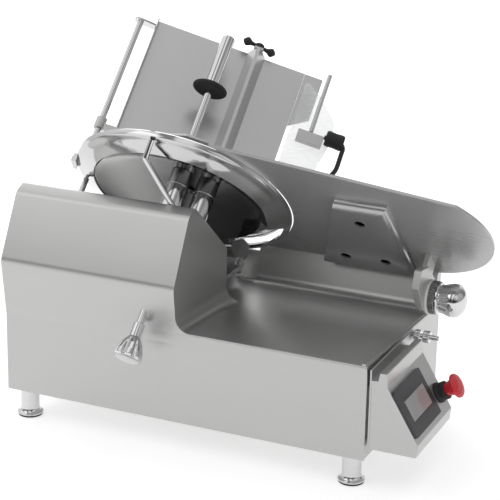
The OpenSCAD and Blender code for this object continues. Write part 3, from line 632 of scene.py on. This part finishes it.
def refined(node: str, name: str, finish: Finish, bevel: float = 0.0006,
            angle: float = 28.0) -> bpy.types.Object:
    """A merged copy of a CAD node with softened edges, which stands for the node.

    Args:
        node: the CAD node.
        name: the new piece's name.
        finish: what it is dressed with.
        bevel: the width of the softened edges, in metres.
        angle: the sharpest bend, in degrees, that is still shaded as a curve.

    Returns:
        The new piece.
    """
    mesh = frame["nodes"][node].data.copy()
    mesh.name = name
    work = bmesh.new()
    work.from_mesh(mesh)
    bmesh.ops.remove_doubles(work, verts=work.verts, dist=2e-6)
    bmesh.ops.dissolve_limit(work, angle_limit=math.radians(0.4), verts=work.verts, edges=work.edges)
    work.to_mesh(mesh)
    work.free()
    crease(mesh, angle)
    piece = bpy.data.objects.new(name, mesh)
    bpy.context.scene.collection.objects.link(piece)
    soften(piece, bevel, angle)
    return placed(piece, finish, body_of(node), [node])


# ---- studio ----------------------------------------------------------------


@dataclass(frozen=True)
class Lamp:
    """A square lamp that faces the slicer.

    Attributes:
        name: its name.
        place: where it hangs, in metres.
        size: its side in metres.
        power: its power in watts.
    """

    name: str
    place: tuple[float, float, float]
    size: float
    power: float

    def build(self, target: Sequence[float]) -> None:
        """Hangs the lamp and turns it to a target."""
        lamp = bpy.data.lights.new(self.name, "AREA")
        lamp.size, lamp.energy = self.size, self.power
        light = bpy.data.objects.new(self.name, lamp)
        light.location = self.place
        way = Vector(target) - Vector(self.place)
        light.rotation_euler = way.to_track_quat("-Z", "Y").to_euler()
        bpy.context.scene.collection.objects.link(light)


@dataclass(frozen=True)
class Studio:
    """The floor, the soft light and the camera."""

    reach: float = 14.0
    target: tuple[float, float, float] = (0.3, 0.15, 0.2)
    lamps: tuple[Lamp, ...] = (
        Lamp("key", (-1.6, -2.2, 2.6), 2.2, 9.0),
        Lamp("fill", (2.8, -1.2, 1.8), 1.6, 4.0),
        Lamp("back", (-1.2, 2.6, 1.6), 2.4, 30.0),
    )
    floor_colour: tuple[float, float, float] = (0.82, 0.82, 0.82)
    floor_glow: float = 0.5
    lens: float = 128.2
    eye: tuple[float, float, float] = (1.4589, -2.3922, 1.2445)
    yaw: float = 23.838
    pitch: float = 18.771
    roll: float = 1.127

    def build(self) -> None:
        """Makes the floor, the lights and the camera."""
        self.build_floor()
        self.build_sky()
        for lamp in self.lamps:
            lamp.build(self.target)
        self.build_camera()

    def build_floor(self) -> None:
        """A square floor under the feet, in a pale plain colour."""
        r, z = self.reach, float(CAD_BOX[0][2])
        mesh = bpy.data.meshes.new("studio_floor")
        mesh.from_pydata([(-r, -r, z), (r, -r, z), (r, r, z), (-r, r, z)], [], [(0, 1, 2, 3)])
        floor = bpy.data.objects.new("studio_floor", mesh)
        bpy.context.scene.collection.objects.link(floor)
        made = bpy.data.materials.new("studio_floor")
        made.use_nodes = True
        make = Nodes(made.node_tree)
        shader = make.add("ShaderNodeBsdfPrincipled", None, {
            "Base Color": (*self.floor_colour, 1), "Roughness": 1.0, "Specular IOR Level": 0.0,
            "Emission Color": (1, 1, 1, 1), "Emission Strength": self.floor_glow})
        make.add("ShaderNodeOutputMaterial", None, {"Surface": shader.outputs[0]})
        mesh.materials.append(made)

    def build_sky(self) -> None:
        """Soft white, brightest above and darker to the right.

        Three dark bands give polished metal something to reflect: one across the front, one on the
        right flank and a strip that runs from front to back overhead.
        """
        world = bpy.data.worlds.new("studio_light")
        bpy.context.scene.world = world
        world.use_nodes = True
        make = Nodes(world.node_tree)
        way = make.wire("ShaderNodeTexCoord", output="Generated")
        parts = make.add("ShaderNodeSeparateXYZ", None, {0: way})
        x, y, z = (Wire(make, s) for s in parts.outputs)
        up = z.ramp(-0.1, 0.85)
        right = x.ramp(0.25, 0.95)
        front = (0.0 - y).ramp(0.15, 0.6) * z.ramp(-0.02, 0.12) * (1.0 - z.ramp(0.3, 0.62))
        flank = x.ramp(0.3, 0.5) * (1.0 - x.ramp(0.72, 0.86)) * z.ramp(-0.3, 0.0)
        strip = x.ramp(-0.3, -0.2) * (1.0 - x.ramp(-0.02, 0.08)) * z.ramp(0.05, 0.2)
        dim = (1.0 - flank * 0.6) * (1.0 - strip * 0.7)
        level = (0.76 + up * 0.34) * (1.0 - front * 0.85) * (1.0 - right * 0.4) * dim
        tone = make.add("ShaderNodeBackground", None, {"Color": (1, 1, 1, 1), "Strength": level})
        make.add("ShaderNodeOutputWorld", None, {"Surface": tone.outputs[0]})

    def build_camera(self) -> None:
        """The camera looks from the right front, a little down, and is rolled slightly."""
        yaw, pitch, roll = (math.radians(v) for v in (self.yaw, self.pitch, self.roll))
        level = math.cos(pitch)
        ahead = Vector((-math.sin(yaw) * level, math.cos(yaw) * level, -math.sin(pitch)))
        right = Vector((math.cos(yaw), math.sin(yaw), 0.0))
        up = right.cross(ahead)
        right, up = right * math.cos(roll) + up * math.sin(roll), up * math.cos(roll) - right * math.sin(roll)
        lens = bpy.data.cameras.new("camera")
        lens.lens, lens.sensor_width = self.lens, 36.0
        lens.clip_end = 60.0
        camera = bpy.data.objects.new("camera", lens)
        turn = Matrix((right, up, -ahead)).transposed().to_4x4()
        camera.matrix_world = Matrix.Translation(self.eye) @ turn
        bpy.context.scene.collection.objects.link(camera)
        bpy.context.scene.camera = camera
        bpy.context.scene.view_settings.view_transform = "Standard"


# ---- sub-assemblies --------------------------------------------------------


@dataclass(frozen=True)
class Profile:
    """Half of a turned shape, in millimetres.

    Attributes:
        corners: the radius, the height and the arc's radius at each corner.
    """

    corners: tuple[tuple[float, float, float], ...]

    def rows(self, rise: float = 0.0) -> np.ndarray:
        """Its points with the corners rounded, raised by so much."""
        told = np.array(self.corners, float)
        return arced(told[:, :2] + (0.0, rise), told[:, 2])


def ring(bore: float, radius: float, low: float, high: float, inner: float = 1.0,
         outer: float = 1.0) -> np.ndarray:
    """A ring's section with a chamfer on both outer edges, as rows of radius and height.

    Args:
        bore: the radius of its hole.
        radius: its own radius.
        low: the height of its first face.
        high: the height of its second face.
        inner: the first face's chamfer.
        outer: the second face's chamfer.

    Returns:
        Six points, all in millimetres.
    """
    return np.array([(bore, low), (radius - inner, low), (radius, low + inner), (radius, high - outer),
                     (radius - outer, high), (bore, high)])


def knurled(low: float, high: float, depth: float, wave: Callable[[np.ndarray], np.ndarray]) -> Swell:
    """What cuts a wave into a ring's rim: 1 - depth * wave(t), up to the rim's chamfers.

    Args:
        low: the height of the ring's first face.
        high: the height of its second face.
        depth: the deepest cut, as a share of the radius.
        wave: the cut at an angle, from 0 to 1.

    Returns:
        The swell.
    """
    margin = 0.5

    def swell(t: np.ndarray, h: np.ndarray) -> np.ndarray:
        """The share of the radius that is left."""
        return 1 - depth * wave(t) * ((h > low + margin) & (h < high - margin))

    return swell


@dataclass(frozen=True)
class Knobs:
    """The thickness knob and its collar, the release bell, the latch rings and the feet."""

    flats: int = 10
    knurls: int = 40
    flutes: int = 8
    ring_knurls: int = 20
    dome: float = 21.0
    waist: float = 5.2
    shaft_r: float = 5.0
    shaft_bore: float = 5.1
    lip: tuple[tuple[float, float], ...] = ((-2.4, 0.3), (-1, 1.4), (-1, 3.4), (-2, 4.4), (-4.6, 5))
    bell_place: tuple[float, float, float] = (30.0, -43.0, -248.0)
    bell: Profile = Profile((
        (0, -80, 0), (20, -82, 1), (23, -79, 2), (22, -70, 12), (18, -58, 30), (13, -48, 30), (9.5, -44, 3),
        (9.5, -22, 1), (9.5, -20, 1), (6, -20, 0), (6, 55, 0), (0, 55, 0)))
    latch_sleeve: float = 20.0
    latch_rings: tuple[tuple[str, float, float], ...] = (("inner", 3, 13), ("outer", 18, 29))
    foot_r: float = 22.0
    leg: Profile = Profile((
        (0, 0, 0), (21, 0, 0.6), (22, 1, 0.8), (21.6, 3, 1.5), (18, 5.4, 3), (15.6, 9.5, 8), (15.5, 46, 0.8),
        (14.5, 47, 0.6), (5, 47, 0), (5, 62, 0.5), (0, 62, 0)))

    def build(self) -> None:
        """Makes every turned knob."""
        self.build_thickness()
        self.build_collar()
        self.build_release()
        self.build_latch()
        self.build_feet()

    def dial_axes(self) -> Axes:
        """The thickness knob's axis, measured from the row frame's X of zero."""
        told = axes_on("gauge_turn", DEEP)
        return Axes(np.array([0.0, *told.origin[1:]]), told.x, told.y, told.z)

    def build_thickness(self) -> None:
        """A round-ended barrel with soft flats on its neck, and its shaft.

        The neck's radius is r - waist * (1 - e), where e is the smooth step 3 s^2 - 2 s^3 along it, and
        the dome is a quarter of an ellipse.
        """
        low, high = (v / MM for v in corners("thickness_knob"))
        start = corners("knob_collar")[1][0] / MM
        r, top = (high[2] - low[2]) / 2, high[0]
        share = np.linspace(0, 1, 22)[:, None]
        ease = share * share * (3 - 2 * share)
        neck = np.hstack([r - self.waist * (1 - ease), start + 5.6 + (top - self.dome - start - 6) * share])
        arc = np.radians(np.linspace(0, 90, 26))
        cap = np.column_stack([r * np.cos(arc), top - self.dome * (1 - np.sin(arc))])
        profile = np.concatenate([[(0, start + self.lip[0][1])], np.add(self.lip, (r, start)), neck, cap])

        def wrist(t: np.ndarray, h: np.ndarray) -> np.ndarray:
            """Flats that start above the lip and fade out before the dome."""
            fade = np.clip((top - 1.1 * self.dome - h) / 6, 0, 1) * (h > start + 5.4)
            return 1 - 0.06 * (0.5 - 0.5 * np.cos(self.flats * t)) ** 2 * fade

        axes, body = self.dial_axes(), "gauge_knob"
        placed(turned("thickness_barrel", axes, profile, 200, swell=wrist), CHROME, body, ["thickness_knob"])
        shaft = np.array([(0, low[0]), (self.shaft_r, low[0]), (self.shaft_r, start + 1), (0, start + 1)])
        placed(turned("thickness_shaft", axes, shaft, 40), CHROME, body)

    def build_collar(self) -> None:
        """A dark knurled collar on a white washer plate."""
        axes = self.dial_axes()
        low, high = (v / MM for v in corners("knob_collar"))
        band = ring(self.shaft_bore, (high[2] - low[2]) / 2, low[0], high[0])
        grip = knurled(low[0], high[0], 0.05, lambda t: np.abs(np.cos(self.knurls * t / 2)) ** 3)
        placed(turned("collar_grip", axes, band, 480, True, grip), DARK_CHROME, "gauge_knob", ["knob_collar"])
        low, high = (v / MM for v in corners("dial_plate"))
        disc = ring(self.shaft_bore, (high[2] - low[2]) / 2, low[0], high[0], 0.4, 0.8)
        placed(turned("dial_disc", axes, disc, 128, True), WHITE, "base", ["dial_plate"])

    def build_release(self) -> None:
        """A bell with soft flutes on a stem that leaves the front wall."""
        def fluting(t: np.ndarray, h: np.ndarray) -> np.ndarray:
            """Flutes that deepen from the bell's neck to its mouth."""
            fade = np.clip((-46 - h) / 20, 0, 1) * (h > -81.5)
            return 1 - 0.17 * np.maximum(np.cos(self.flutes * t), 0) ** 1.5 * fade

        axes = KNIFE.moved(*(v * MM for v in self.bell_place))
        bell = turned("release_bell", axes, self.bell.rows(), 240, swell=fluting)
        placed(bell, CHROME, "release", ["release_knob"])

    def build_latch(self) -> None:
        """Two knurled rings on a pin."""
        low, high = corners("latch_knob")
        middle = (low + high) / 2
        axes = Axes(np.array([0, middle[1], middle[2]]), DEEP, UP, ACROSS)
        start, end = low[0] / MM, high[0] / MM
        pin = np.array([(0, start), (4, start), (4, end - 0.8), (3.2, end), (0, end)])
        placed(turned("latch_pin", axes, pin, 40), CHROME, "latch", ["latch_knob"])
        for name, a, b in self.latch_rings:
            a, b = a + start + self.latch_sleeve, b + start + self.latch_sleeve
            grip = knurled(a, b, 0.06, lambda t: 0.5 + 0.5 * np.cos(self.ring_knurls * t))
            piece = turned(f"latch_ring_{name}", axes, ring(3.6, 10, a, b), 240, True, grip)
            placed(piece, CHROME, "latch")

    def build_feet(self) -> None:
        """Four turned legs with flared bases."""
        low, high = corners("feet")
        inset = self.foot_r * MM
        for i, x in enumerate((low[0] + inset, high[0] - inset)):
            for j, y in enumerate((low[1] + inset, high[1] - inset)):
                axes = Axes(np.array([x, y, low[2]]), ACROSS, DEEP, UP)
                leg = turned(f"foot_leg_{i}{j}", axes, self.leg.rows(), 72)
                placed(leg, CHROME, "base", ["feet"] if i + j == 0 else ())


@dataclass(frozen=True)
class Handles:
    """The bent guard rod, the pusher's handle and disc, the grip with its lever, and the wing knob."""

    bends: tuple[tuple[float, float, float], ...] = (
        (9, -184, -11.5), (3, -171, -40), (41, -104, -80), (47, -92, -87))
    bend_radii: tuple[float, ...] = (0, 9, 14, 0)
    rod_r: float = 4.5
    tube: Profile = Profile((
        (0, 0, 0), (6, 0, 0.5), (6, 115, 0.5), (11.5, 115, 2), (11.5, 213, 3), (0, 213, 0)))
    disc: Profile = Profile((
        (6.1, 0, 0), (14, -0.6, 8), (26, -2, 6), (30, 1, 2), (30, 4, 2), (26, 6, 6), (12, 7.4, 8),
        (6.1, 8, 0)))
    lever_r: float = 4.0
    wing_top: float = 19.6
    wing_turn: float = 14.0
    wing_rise: float = 7.0
    wing_reach: float = 31.5
    wing_hub: Profile = Profile((
        (0, -14, 0), (4, -14, 0.5), (4, 0, 0.5), (8.5, 0, 1), (8.5, 12, 3), (0, 12, 0)))

    def build(self) -> None:
        """Makes every rod and handle."""
        self.build_rod()
        self.build_pusher()
        self.build_grip()
        self.build_lever()
        self.build_wing()

    def build_rod(self) -> None:
        """A round bar that leaves the ring's top and bends down into the housing."""
        path = KNIFE.out(arced(self.bends, self.bend_radii, 12) * MM)
        placed(piped("guard_bar", path, self.rod_r * MM), CHROME, "base", ["guard_rod"])

    def build_pusher(self) -> None:
        """A slim rod with a thicker tube over its upper half, through a dished black disc."""
        low, _ = local(TABLE, "pusher_handle")
        disc_low, disc_high = local(TABLE, "pusher_disc")
        middle = (disc_low + disc_high) / 2
        axes = TABLE.moved(middle[0], middle[1], low[2])
        placed(turned("pusher_tube", axes, self.tube.rows(), 72), CHROME, "pusher", ["pusher_handle"])
        seat = axes.moved(z=disc_low[2] - low[2] + 2 * MM)
        shield = turned("pusher_shield", seat, self.disc.rows(), 96, True)
        placed(shield, BLACK, "pusher", ["pusher_disc"])

    def build_grip(self) -> None:
        """A black grip with rounded ends and a slim middle."""
        low, high = local(TABLE, "carriage_handle")
        middle = (low + high) / 2
        long = (high[0] - low[0]) / MM
        across = Axes(TABLE.out(np.array([low[0], middle[1], middle[2]])), TABLE.y, TABLE.z, TABLE.x)
        grip = Profile(((4.05, 0, 0), (12.5, 0, 2), (14, 4, 5), (13.2, long / 2, 30), (14, long - 4, 5),
                        (12.5, long, 2), (4.05, long, 0)))
        placed(turned("handle_grip", across, grip.rows(), 96, True), BLACK, "carriage", ["carriage_handle"])

    def build_lever(self) -> None:
        """A black rod that leaves the grip and bends back to the table."""
        low, high = local(TABLE, "carriage_handle")
        start, end = local(TABLE, "handle_lever")
        _, y, top = (low + high) / 2
        side, foot, root = end[0] - 4 * MM, start[2] + 4.2 * MM, start[0] + 4.5 * MM
        path = arced([(low[0] - 2.5 * MM, y, top), (side, y, top), (side, y, foot), (root, y, foot),
                      (root, end[1] - 0.5 * MM, foot)], [0, 12 * MM, 40 * MM, 9 * MM, 0], 14)
        placed(piped("handle_rod", TABLE.out(path), self.lever_r * MM), BLACK, "carriage", ["handle_lever"])

    def build_wing(self) -> None:
        """A dumb-bell across a hub.

        Its radius at h is 3.2 + 4.6 * exp(-((|h| - 23.5) / 6.5)^2), rounded off as an ellipse at the ends.
        """
        axes = axes_on("wing_turn", TABLE.x)
        _, high = local(TABLE, "wing_knob")
        climb = high[2] - self.wing_top * MM - (axes.origin - TABLE.origin) @ TABLE.z
        hub = Axes(axes.origin + TABLE.z * climb, axes.x, axes.y, axes.z)
        placed(turned("wing_hub", hub, self.wing_hub.rows(), 64), BLACK, "wing", ["wing_knob"])
        bar = hub.turned(self.wing_turn).moved(z=self.wing_rise * MM)
        h = np.linspace(-self.wing_reach, self.wing_reach, 61)
        lobe = 3.2 + 4.6 * np.exp(-((np.abs(h) - 23.5) / 6.5) ** 2)
        lobe *= np.sqrt(np.clip(1 - (np.clip(np.abs(h) - 24, 0, None) / 7.5) ** 2, 0, 1))
        across = Axes(bar.origin, bar.y, bar.z, bar.x)
        placed(turned("wing_bar", across, np.column_stack([lobe, h]), 48), BLACK, "wing")


@dataclass(frozen=True)
class Controls:
    """The emergency stop and its collar."""

    collar: Profile = Profile((
        (11.1, 0, 0), (17, 0, 0.6), (17, 3.6, 0.8), (15, 6, 1), (15, 8.5, 0.2), (14.2, 9, 0.2),
        (14.2, 10, 0.2), (15, 10.5, 0.2), (15, 16, 0.8), (14, 17, 0.6), (11.1, 17, 0)))
    head: Profile = Profile((
        (0, -31.9, 0), (11, -31.9, 0), (11, -16, 1), (12, -15.8, 2), (14, -9, 3), (20, -6, 1.4),
        (20, -3, 1.2), (18, -0.9, 1), (9.6, -0.2, 0.4), (9, -1, 0.2), (8.2, -1, 0.2), (7.6, -0.1, 0.4),
        (0, 0, 0)))

    def build(self) -> None:
        """Makes the collar and the mushroom head, whose profile is measured down from its top."""
        axes = axes_on("stop_press", DEEP)
        face = Axes(axes.origin, axes.x, -axes.y, -axes.z)
        low, high = local(face, "stop_collar")
        middle = (low + high) / 2
        stand = face.moved(middle[0], middle[1], low[2])
        placed(turned("stop_base", stand, self.collar.rows(), 96, True), BLACK, "base", ["stop_collar"])
        top = (local(face, "stop_button")[1][2] - low[2]) / MM
        placed(turned("stop_head", stand, self.head.rows(top), 128), RED, "stop", ["stop_button"])


@dataclass
class Carried:
    """The nodes whose shape is kept, each with its finish and softened edges."""

    finishes: dict[Finish, tuple[str, ...]] = field(default_factory=lambda: {
        SHEET: ("main_cover", "left_end_panel", "right_end_panel", "bottom_plate", "console_box",
                "rail_cover", "carriage_arm", "slice_deflector"),
        SHEET_TABLE: ("product_table", "table_panel", "fence", "pusher_plate"),
        SHEET_GAUGE: ("gauge_plate",),
        SHEET_FOLD: ("gauge_bracket",),
        MACHINED: ("knife_shaft", "knife_bearings", "motor_pulley", "knife_pulley", "knife_screws",
                   "gauge_bolts", "deflector_bracket", "guard_tube"),
        CAST: ("motor_plate", "shaft_housing", "gauge_lug", "gauge_tongue", "carriage_block", "rail_brackets",
               "pusher_slider"),
        MIRROR: ("ring_guard",),
        SHIELD: ("knife_shield",),
        BLADE: ("knife", "knife_cover"),
        CHROME: ("pillars", "pillar_caps", "ring_posts", "guide_rod", "carriage_rails"),
        IRON: ("base_frame",),
        DARK_PAINT: ("knife_motor",),
        BLACK: ("power_inlet",),
        BEZEL: ("console_bezel",),
        SCREEN: ("console_screen",),
        SOLE: ("foot_pads", "drive_belt"),
        ACRYLIC: ("clear_guard",),
    })

    def build(self) -> None:
        """Makes a refined copy of each node."""
        for finish, nodes in self.finishes.items():
            for node in nodes:
                refined(node, node + "_fine", finish)


def main() -> None:
    """Builds the slicer piece by piece, then the studio."""
    Carried().build()
    Knobs().build()
    Handles().build()
    Controls().build()
    Studio().build()


if __name__ == "__main__":
    logging.basicConfig(level=logging.INFO, format="%(name)s: %(message)s")
    main()
